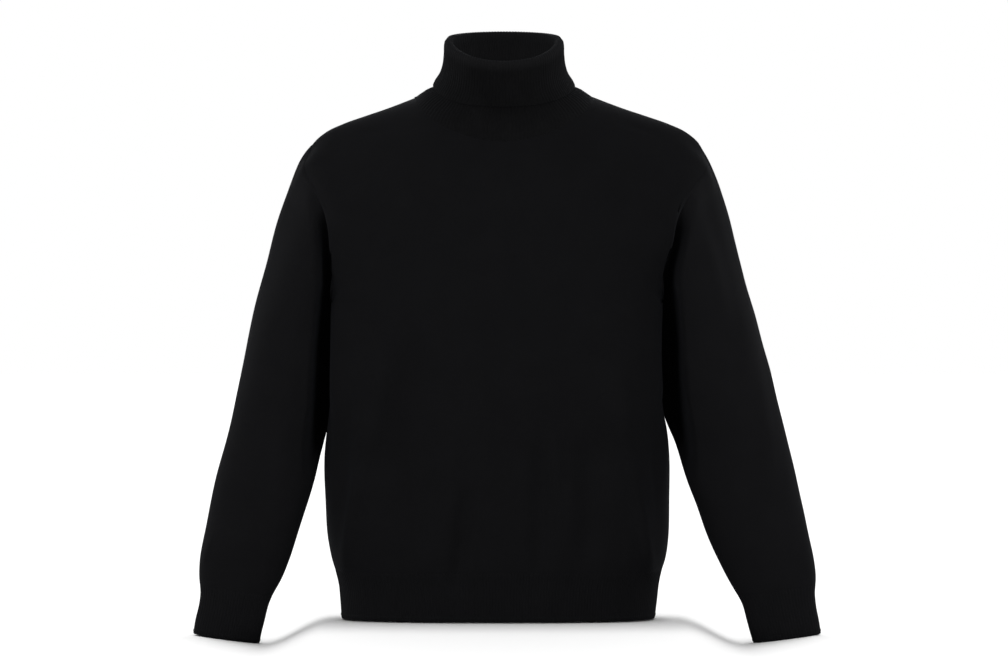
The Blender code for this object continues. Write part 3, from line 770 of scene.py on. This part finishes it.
def besideBody(points, side):  # moved out to clear the body's side, below the underarm
    z = points[..., 2]
    wanted = sleeve["clearance"] - contact["held"] * contactDepth(points[..., 1], z)
    short = np.clip(wanted - fromSide(points, side), 0, None)
    start = body["underarmZ"] + sleeve["clearanceStart"]
    moved = points.copy()
    moved[..., 0] += side * short * softStep((start - z) / sleeve["clearanceRun"])
    return moved


def hollowed(points, arm, fromSeam):
    # the arm's inner side turns in beside the body: points in front of hollowY move back towards it by
    # depth * softStep((wide - s) / (wide - floor)), where s is how far they lie outside the body's edge
    x, y, z = points[..., 0], points[..., 1], points[..., 2]
    side, floor, wide = armSides[arm], read(hollow, "floor" + arm, z), read(hollow, "wide" + arm, z)
    outside = side * x - read(armholeShare, "front", z) * reach(side, z)
    deep = read(hollow, "depth", z) * softStep(fromSeam / sleeve["hollowRise"])
    deep *= softStep((wide - outside) / (wide - floor))
    moved = points.copy()
    moved[..., 1] += np.clip(sleeve["hollowY"] - y, 0, None) * deep
    return moved


def sleeveGrid(arm):
    # from the armhole round the sleeve's head, whose rows are (1 - t) start + t end, then down the arm
    up, side, rows = crowded(body["upperRows"], body["ridgeCrowding"]), armSides[arm], sleeveEdges[arm]
    angle = ringAngles(side, up)
    start, end = armholeRing(side, up), sleeveRings(arm, [sleeve["topZ"]], angle)[0]
    t = np.linspace(0, 1, sleeve["headRows"] + 1)[:, None, None] ** sleeve["headCrowding"]
    head = (1 - t) * start + t * end
    top = np.argmax(side * end[:, 0])
    edge = side * read(rows, "outer", head[1:, top, 2]) - head[1:, top, 0]
    head[1:, :, 0] += edge[:, None] * (1 + side * np.cos(angle)) / 2
    head[..., 1] -= np.sin(np.pi * t[..., 0]) * sleeve["capBulge"] * np.sin(angle) * np.abs(np.sin(angle))
    head = hollowed(head, arm, runAlong(head))
    head[1:] = besideBody(head[1:], side)
    heights = np.linspace(sleeve["topZ"], sleeve["cuffSeamZ"], sleeve["armRows"] + 1)[1:]
    below = besideBody(hollowed(sleeveRings(arm, heights, angle), arm, sleeve["hollowRise"]), side)
    return np.concatenate([head, below])[::-1, ::-1]  # turned round, so that its rows run up


def aroundArm(grid, side):  # distance round each ring from the middle of the front, growing outwards
    closed = runAlong(np.concatenate([grid, grid[:, :1]], axis=1), axis=1)
    front = np.argmin(grid[..., 1], axis=1)[:, None]
    around = closed[:, :-1] - np.take_along_axis(closed, front, 1)
    whole = closed[:, -1:]
    around = (around + whole / 2) % whole - whole / 2
    middle = np.take_along_axis(grid[..., 0], (front + 1) % grid.shape[1], 1)
    growing = np.sign(middle - np.take_along_axis(grid[..., 0], front, 1))
    return around * growing * side


def sleeveWaviness(grid, arm):
    place, seed = grid[..., 0] + grid[..., 1], sleeve["seeds"][arm]
    return waviness(place, grid[..., 2], seed, sleeve["waveHeight"], sleeve["waveSize"])


def sleeveRelief(grid, arm):
    side, fromFoot = armSides[arm], runAlong(grid)
    toSeam = fromFoot[-1:] - fromFoot
    fullness = creases(aroundArm(grid, side), grid[..., 2], sleeveCreases[arm]) + sleeveWaviness(grid, arm)
    near, far = sleeve["calmBeside"]
    calm = 1 - armBeside(grid[..., 2]) * softStep((far - fromSide(grid, side)) / (far - near))
    relief = fullness * softStep(toSeam / sleeve["calmEdge"]) * calm + seamShape(toSeam)
    seamZ = np.broadcast_to(grid[-1:, :, 2], toSeam.shape)
    relief += gatherShape(fromFoot) + armholeShape(toSeam, seamZ, True)
    return relief - contactDepth(grid[-1:, :, 1], grid[-1:, :, 2]) * bell(toSeam / contact["fade"])


cuff = {**hemRib, "ribs": 57, "columnsZ": -670.0, "edgeRollAt": 3.4}  # the rest as in the hem


def buildCuff(arm, material):
    look, tall = cuff, sleeve["cuffSeamZ"] - sleeve["cuffEndZ"]
    up = edgeRows(tall + look["tuckUp"], look["rowStep"])
    fine = np.linspace(0, 2 * np.pi, 2001) + (np.pi if arm == "Left" else 0)
    even = sleeveRings(arm, [look["columnsZ"]], fine)[0]
    angle = evenlyAlong(even, fine, look["ribs"] * look["samples"])[:-1]
    grid = sleeveRings(arm, sleeve["cuffEndZ"] + up, angle)[:, ::-1]
    base = sleeveWaviness(grid, arm) + (footShape(up, look) - tuckShape(up, tall, look))[:, None]
    return ribShell("cuff" + arm, grid, look, base, True, material)


# Collar.

collar = {
    "ribs": 118,
    "samples": 6,
    "ribHeight": 0.65,
    "wall": 2.7,
    "rows": 42,
    "foldSteps": 6,
    "bend": 0.3,  # how sharply the rings turn upwards at the sides
    "edgeWave": 1.0,  # unevenness of the turned-down layer's lower edge
    "sideWave": 1 / 150,  # the same across, as a share of its width
    "evenRing": 2,  # ring of the turned-down layer on which the ribs are evenly spaced
    "edgeThinner": (1.2, 7.0),  # how much thinner its lower edge gets, and over what length
}
stand = table(  # rings of the outward face up the stand: their side, front and back points
    "side sideZ front frontZ back backZ",
    (101, 7.6, -89.5, -45, 66, -3),
    (88.5, 13.2, -88, -27, 63.5, 15),
    (79, 24, -85, -8, 59, 33),
    (73.5, 40, -81, 11, 52, 52),
    (69.8, 58, -75.5, 31, 43.5, 73),
    (68.6, 69.5, -72.8, 38.5, 36.5, 84),
)
turnover = table(  # the same face on the layer that is turned down outside
    "side sideZ front frontZ back backZ",
    (74.4, 69, -78.6, 36.5, 42.6, 82),
    (75.2, 54, -81.8, 19, 47.5, 68),
    (77.1, 38, -84.9, 3, 52.5, 55),
    (81.2, 26, -87.0, -8, 56.5, 46),
    (90.2, 13.4, -88.8, -17.5, 60.5, 38),
)


def collarRings(rows, angles):
    # each ring runs through its front, side and back points. With c = cos(a): x = side sin(a),
    # y = (front + back) / 2 + (front - back) / 2 c and z = sideZ + slope c + sag b, where b is
    # (sqrt(c^2 + bend^2) - bend) / (sqrt(1 + bend^2) - bend), a |c| that is rounded at the sides
    ring = {name: values[:, None] for name, values in rows.items()}
    c, bend = np.cos(angles)[None, :], collar["bend"]
    rounded = (np.sqrt(c**2 + bend**2) - bend) / (np.sqrt(1 + bend**2) - bend)
    y = (ring["front"] + ring["back"]) / 2 + (ring["front"] - ring["back"]) / 2 * c
    sag = (ring["frontZ"] + ring["backZ"]) / 2 - ring["sideZ"]
    z = ring["sideZ"] + (ring["frontZ"] - ring["backZ"]) / 2 * c + sag * rounded
    return np.stack([ring["side"] * np.sin(angles)[None, :], y, z], axis=-1)


def collarGrid(angles):  # the stand up from the neckline, a round fold, and the layer turned down outside
    ahead = np.cos(angles) > 0
    base = np.where(
        ahead[:, None],
        onBody(*neckline((angles + np.pi) % (2 * np.pi) - np.pi, "front"), "front"),
        onBody(*neckline(np.pi - angles, "back"), "back"),
    )
    up, down = collarRings(stand, angles), collarRings(turnover, angles)
    middle, half = (up[-1] + down[0]) / 2, (down[0] - up[-1]) / 2
    away = unit(up[-1] - up[-2] + down[0] - down[1]) * np.linalg.norm(half, axis=-1, keepdims=True)
    turn = np.linspace(0, np.pi, collar["foldSteps"] + 2)[1:-1, None, None]
    rings = np.concatenate([base[None], up, middle - half * np.cos(turn) + away * np.sin(turn), down])
    run = runAlong(rings).mean(axis=1)
    at = np.linspace(0, run[-1], collar["rows"] + 1)
    grid = through(run, rings, at)
    lower = softStep((at - run[-len(down)]) / (run[-1] - run[-len(down)]))[:, None]
    uneven = (np.sin(3 * angles + 0.6) + 0.7 * np.sin(5 * angles + 2.2)) / 1.7
    grid[..., 2] += lower * collar["edgeWave"] * uneven
    grid[..., 0] *= 1 + lower * collar["sideWave"] * np.sin(4 * angles + 1.1)
    return grid


def buildCollar(material):
    look, fine = collar, np.linspace(np.pi, 3 * np.pi, 4001)
    even = {name: values[look["evenRing"]][None] for name, values in turnover.items()}
    angles = evenlyAlong(collarRings(even, fine)[0], fine, look["ribs"] * look["samples"])[:-1]
    grid = collarGrid(angles)
    (less, run), up = look["edgeThinner"], runAlong(grid)
    thinner = less * softStep((up - up[-1:] + run) / run)
    return ribShell("rolledCollar", grid, look, 0 * up, True, material, thinner, knitRow=-1)


# Materials.

yarn = {  # what the knits below have in common
    "course": 1.3,  # height of a stitch
    "loop": (3, 0.6),  # how sharp and how deep the dip between two courses is
    "depth": 0.2,  # of a stitch
    "bump": 0.7,
    "noises": {"fibre": (1400, 2), "speckle": (330, 2), "mottle": (26, 3)},  # scale and detail
    "fibreHeight": 0.5,  # against the stitch's
    # shares of each part in the tone: fibre, speckle and mottle vary it at random, and the stitch's height
    # darkens the dips between loops and courses as painted shade
    "shades": {"fibre": 0.25, "mottle": 0.35, "stitch": 0.15, "speckle": 0.3},
    "dark": (0.003, 0.003, 0.0034),
    "light": (0.0075, 0.0075, 0.0084),
    "paintedLightRamps": (),
    "sockets": {
        "Roughness": 0.9,
        "Specular IOR Level": 0.06,
        "Sheen Weight": 0.02,
        "Sheen Roughness": 0.5,
        "Sheen Tint": (0.8, 0.85, 1.0, 1),
    },
}
knits = {  # wale: width of a stitch; the ramps are painted light, stretches from start to end up the cloth whose colour is made lighter or darker
    "jersey": {**yarn, "wale": 1.7, "sockets": {**yarn["sockets"], "Roughness": 0.88}},
    "rib": {**yarn, "wale": 1.95},
    "collarRib": {
        **yarn,
        "wale": 1.95,
        "dark": (0.0002, 0.0002, 0.0003),
        "light": (0.0078, 0.0078, 0.0084),
        # painted light: the whole collar 0.17 darker, the stand's foot under the turned-down layer back to
        # its tone, and the neck side from 60 to 122 up the cloth, up to the fold, 0.6 lighter against the
        # shade inside the collar
        "paintedLightRamps": ((-2, -1, -0.17), (40, 0, 0.17), (60, 75, 0.6), (112, 122, -0.6)),
    },
}


def knitMaterial(name, look):
    # stitch height = (1 - (4 |leg| - 1)^2) (1 - deep |2 f - 1|^sharp), where leg is the distance from the
    # wale's middle and f the fraction of a course, which rises along the leg
    material = bpy.data.materials.new(name)
    material.use_nodes = True
    nodes, links = material.node_tree.nodes, material.node_tree.links
    shader = nodes["Principled BSDF"]

    def calc(operation, *values):
        node = nodes.new("ShaderNodeMath")
        node.operation = operation
        for socket, value in zip(node.inputs, values):
            if isinstance(value, (int, float)):
                socket.default_value = value
            else:
                links.new(value, socket)
        return node.outputs[0]

    def spread(value, times):  # times * value - 1
        return calc("SUBTRACT", calc("MULTIPLY", value, times), 1.0)

    cloth, split = nodes.new("ShaderNodeUVMap"), nodes.new("ShaderNodeSeparateXYZ")
    cloth.uv_map = "knit"
    links.new(cloth.outputs["UV"], split.inputs[0])
    across, up = split.outputs["X"], split.outputs["Y"]
    wale = calc("FRACT", calc("MULTIPLY", across, 1 / (look["wale"] * mm)))
    leg = calc("ABSOLUTE", calc("SUBTRACT", wale, 0.5))
    course = calc("FRACT", calc("ADD", calc("MULTIPLY", up, 1 / (look["course"] * mm)), leg))
    sharp, deep = look["loop"]
    legRound = calc("SUBTRACT", 1.0, calc("POWER", spread(leg, 4.0), 2.0))
    dip = calc("MULTIPLY", calc("POWER", calc("ABSOLUTE", spread(course, 2.0)), sharp), deep)
    parts = {"stitch": calc("MULTIPLY", legRound, calc("SUBTRACT", 1.0, dip))}

    place = nodes.new("ShaderNodeTexCoord")
    for kind, (scale, detail) in look["noises"].items():
        noise = nodes.new("ShaderNodeTexNoise")
        fill(noise, {"Scale": scale, "Detail": detail})
        links.new(place.outputs["Object"], noise.inputs["Vector"])
        parts[kind] = noise.outputs["Fac"]

    bump = nodes.new("ShaderNodeBump")
    fill(bump, {"Strength": look["bump"], "Distance": look["depth"] * mm})
    height = calc("ADD", parts["stitch"], calc("MULTIPLY", parts["fibre"], look["fibreHeight"]))
    links.new(height, bump.inputs["Height"])
    links.new(bump.outputs["Normal"], shader.inputs["Normal"])

    # the tone: random noises, with painted shade in the stitches' dips from the stitch's height
    shade = 0.0
    for kind, share in look["shades"].items():
        shade = calc("ADD", shade, calc("MULTIPLY", parts[kind], share))
    for start, end, more in look["paintedLightRamps"]:  # painted light: more * (up - start) / (end - start), between 0 and more, added to the tone
        share = calc("MULTIPLY", calc("SUBTRACT", up, start * mm), 1 / ((end - start) * mm))
        share = calc("MINIMUM", calc("MAXIMUM", share, 0.0), 1.0)
        shade = calc("ADD", shade, calc("MULTIPLY", share, more))
    tone = nodes.new("ShaderNodeMix")
    tone.data_type = "RGBA"
    fill(tone, {"A": (*look["dark"], 1), "B": (*look["light"], 1)})
    links.new(shade, tone.inputs["Factor"])
    links.new(tone.outputs["Result"], shader.inputs["Base Color"])
    fill(shader, look["sockets"])
    return material


# The object.

materials = {name: knitMaterial(name, look) for name, look in knits.items()}
print("materials done")

grids = {panel: bodyGrid(panel) for panel in ("front", "back")}
grids.update({"sleeve" + arm: sleeveGrid(arm) for arm in armSides})
normals = shareNormals(grids, {"sleeveRight", "sleeveLeft"})
pieces = {}
for panel in ("front", "back"):
    relief = bodyRelief(grids[panel], panel)
    pieces[panel] = clothShell(panel + "Panel", grids[panel], normals[panel], relief, body["wall"], False,
                               materials["jersey"])
    pieces["hem_rib_" + panel] = buildHemRib(panel, materials["rib"])
print("body done")
for arm in armSides:
    name, part = "sleeve" + arm, arm.lower()
    relief = sleeveRelief(grids[name], arm)
    pieces["sleeve_" + part] = clothShell(name, grids[name], normals[name], relief, sleeve["wall"], True,
                                          materials["jersey"])
    pieces["cuff_" + part] = buildCuff(arm, materials["rib"])
print("sleeves done")
pieces["collar"] = buildCollar(materials["collarRib"])
print("collar done")

for node, piece in pieces.items():
    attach(piece, "root")
    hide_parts(node)

# Floor, light and camera.

studio = {
    "floorLow": -708.5,  # beside the body
    "floorHigh": -678.4,  # under the body
    "cuffSlope": (0.13, 312.0, 402.0),  # it rises outwards under the cuffs
    "rise": (225.0, 85.0, 300.0, 200.0),  # half width and slope of the raised part, then the same in depth
    "floorHalf": 40000.0,
    "floorNear": (600.0, 61),  # evenly divided part of the floor, and how fast its squares grow outside it
    "floorSquares": 120,
    "floorTone": 0.96,
    "floorBounce": 0.25,  # how bright the floor is as a source of light
    "roomLight": 0.2,
    "overheadTilt": -12.0,  # degrees from straight above, towards the front
    "overheadSpread": 64.0,  # how wide it looks, in degrees
    "overheadStrength": 3.5,
    "lens": 164.8,
    "cameraPlace": (0, -6.0, -0.311),
    # place, target, width, height, power and what it lights. One with two powers stands on both sides, the
    # left place is given, and the right one's power comes first.
    "softboxes": {
        "front": ((1.15, -2.45, 0.4), (0, 0, -0.2), 0.5, 1.2, (13, 11.5), "cloth"),
        "frontHigh": ((0, -3.2, 2.0), (0, 0, -0.3), 3.4, 1.6, (8,), "torso"),
        "bodyFront": ((0, -2.8, 0.2), (0, 0, -0.35), 0.6, 1.2, (11,), "torso"),
        "bodySide": ((2.5, -1.6, 0.1), (0, 0, -0.4), 0.8, 1.6, (14, 5), "torso"),
        "arm": ((1.9, -2.0, -0.8), (0.3, 0, -0.4), 0.8, 1.2, (28.5, 35), "arms"),
        "armSide": ((3.2, -0.8, -0.2), (0.2, 0, -0.35), 1.4, 2.4, (36, 36), "arms"),
        "collarFront": ((0, -2.6, 0.1), (0, 0, 0.05), 0.6, 0.4, (40,), "collar"),
        "collarSide": ((3.2, -0.8, 0.6), (0, 0, 0), 1.4, 2.4, (18, 18), "collar"),
        "backHigh": ((0, 3.2, 1.6), (0, 0, -0.3), 3.4, 1.6, (50,), "garment"),
        "backSide": ((3.1, 1.8, 0.6), (0.2, 0, -0.35), 1.4, 2.4, (25, 25), "garment"),
    },
}


def floorGrid():
    # rises from floorLow to floorHigh by softStep across and in depth, and a little under the cuffs; its
    # lines lie at near t + (half - near) t^grow
    half, (near, grow) = studio["floorHalf"], studio["floorNear"]
    across, slopeX, depth, slopeY = studio["rise"]
    t = np.linspace(-1, 1, studio["floorSquares"] + 1)
    line = near * t + (half - near) * t**grow
    x, y = np.meshgrid(line, line)
    slope, start, end = studio["cuffSlope"]
    low = studio["floorLow"] + slope * (np.clip(np.abs(x), start, end) - start)
    raised = softStep((across + slopeX - np.abs(x)) / slopeX)
    raised *= softStep((depth + slopeY - np.abs(y)) / slopeY)
    return np.stack([x, y, low + (studio["floorHigh"] - low) * raised], axis=-1)


ground = floorGrid()
index = np.arange(ground[..., 0].size).reshape(ground.shape[:2])
cells = np.stack([index[:-1, :-1], index[:-1, 1:], index[1:, 1:], index[1:, :-1]], axis=-1).reshape(-1, 4)
floorMesh = bpy.data.meshes.new("floor")
floorMesh.from_pydata((ground.reshape(-1, 3) * mm).tolist(), [], cells.tolist())
floorMesh.shade_smooth()
floor = placed("floor", floorMesh)


def mixed(tree, factor, first, second):  # the first shader where the factor is 0, the second where it is 1
    mix = tree.nodes.new("ShaderNodeMixShader")
    for socket, source in zip(mix.inputs, (factor, first, second)):
        tree.links.new(source, socket)
    return mix.outputs[0]


paper = bpy.data.materials.new("paper")
paper.use_nodes = True
tree, nodes = paper.node_tree, paper.node_tree.nodes
top, bounce = nodes["Principled BSDF"], nodes.new("ShaderNodeBsdfDiffuse")
tones = [(studio[name],) * 3 + (1,) for name in ("floorTone", "floorBounce")]
fill(top, {"Base Color": tones[0], "Roughness": 1.0, "Specular IOR Level": 0.0})
fill(bounce, {"Color": tones[1]})
path, facing = nodes.new("ShaderNodeLightPath"), nodes.new("ShaderNodeNewGeometry")
seen = mixed(tree, path.outputs["Is Camera Ray"], bounce.outputs[0], top.outputs[0])
clear = nodes.new("ShaderNodeBsdfTransparent").outputs[0]
above = mixed(tree, facing.outputs["Backfacing"], seen, clear)
tree.links.new(above, nodes["Material Output"].inputs["Surface"])
floorMesh.materials.append(paper)


def matching(*words):  # the pieces whose node's name holds one of the words
    return [piece for node, piece in pieces.items() if any(word in node for word in words)]


lit = {  # what each light may fall on
    "floor": [floor],
    "garment": list(pieces.values()),
    "collar": [pieces["collar"]],
    "cloth": matching("front", "back", "right", "left"),
    "torso": matching("front", "back"),
    "arms": matching("right", "left"),
}
receivers = {}
for name, members in lit.items():
    receivers[name] = bpy.data.collections.new("on" + name.capitalize())
    for member in members:
        receivers[name].objects.link(member)

for name, (place, target, width, height, powers, on) in studio["softboxes"].items():
    for side, power in zip((-1, 1) if len(powers) > 1 else (1,), powers):
        light = bpy.data.lights.new(name, "AREA")
        light.shape = "RECTANGLE"
        light.size, light.size_y, light.energy = width, height, power
        lamp = placed(name, light)
        mirror = Vector((side, 1, 1))
        lamp.location = mirror * Vector(place)
        lamp.rotation_mode = "QUATERNION"
        lamp.rotation_quaternion = (mirror * (Vector(place) - Vector(target))).to_track_quat("Z", "Y")
        lamp.light_linking.receiver_collection = receivers[on]

sky = bpy.data.lights.new("overhead", "SUN")
sky.energy, sky.angle = studio["overheadStrength"], np.radians(studio["overheadSpread"])
overhead = placed("overhead", sky)
overhead.rotation_euler = (np.radians(studio["overheadTilt"]), 0, 0)
overhead.light_linking.receiver_collection = receivers["floor"]

world = bpy.data.worlds.new("studio")
world.use_nodes = True
tree, nodes = world.node_tree, world.node_tree.nodes
room, backdrop = nodes["Background"], nodes.new("ShaderNodeBackground")
fill(room, {"Color": (1, 1, 1, 1), "Strength": studio["roomLight"]})
fill(backdrop, {"Color": (1, 1, 1, 1)})
path = nodes.new("ShaderNodeLightPath").outputs["Is Camera Ray"]
view = mixed(tree, path, room.outputs[0], backdrop.outputs[0])
tree.links.new(view, nodes["World Output"].inputs["Surface"])
scene.world = world

lens = bpy.data.cameras.new("camera")
lens.lens = studio["lens"]
camera = placed("camera", lens)
camera.location = studio["cameraPlace"]
camera.rotation_euler = (np.pi / 2, 0, 0)
bpy.context.scene.camera = camera
scene.view_settings.view_transform = "Standard"
print("studio done")
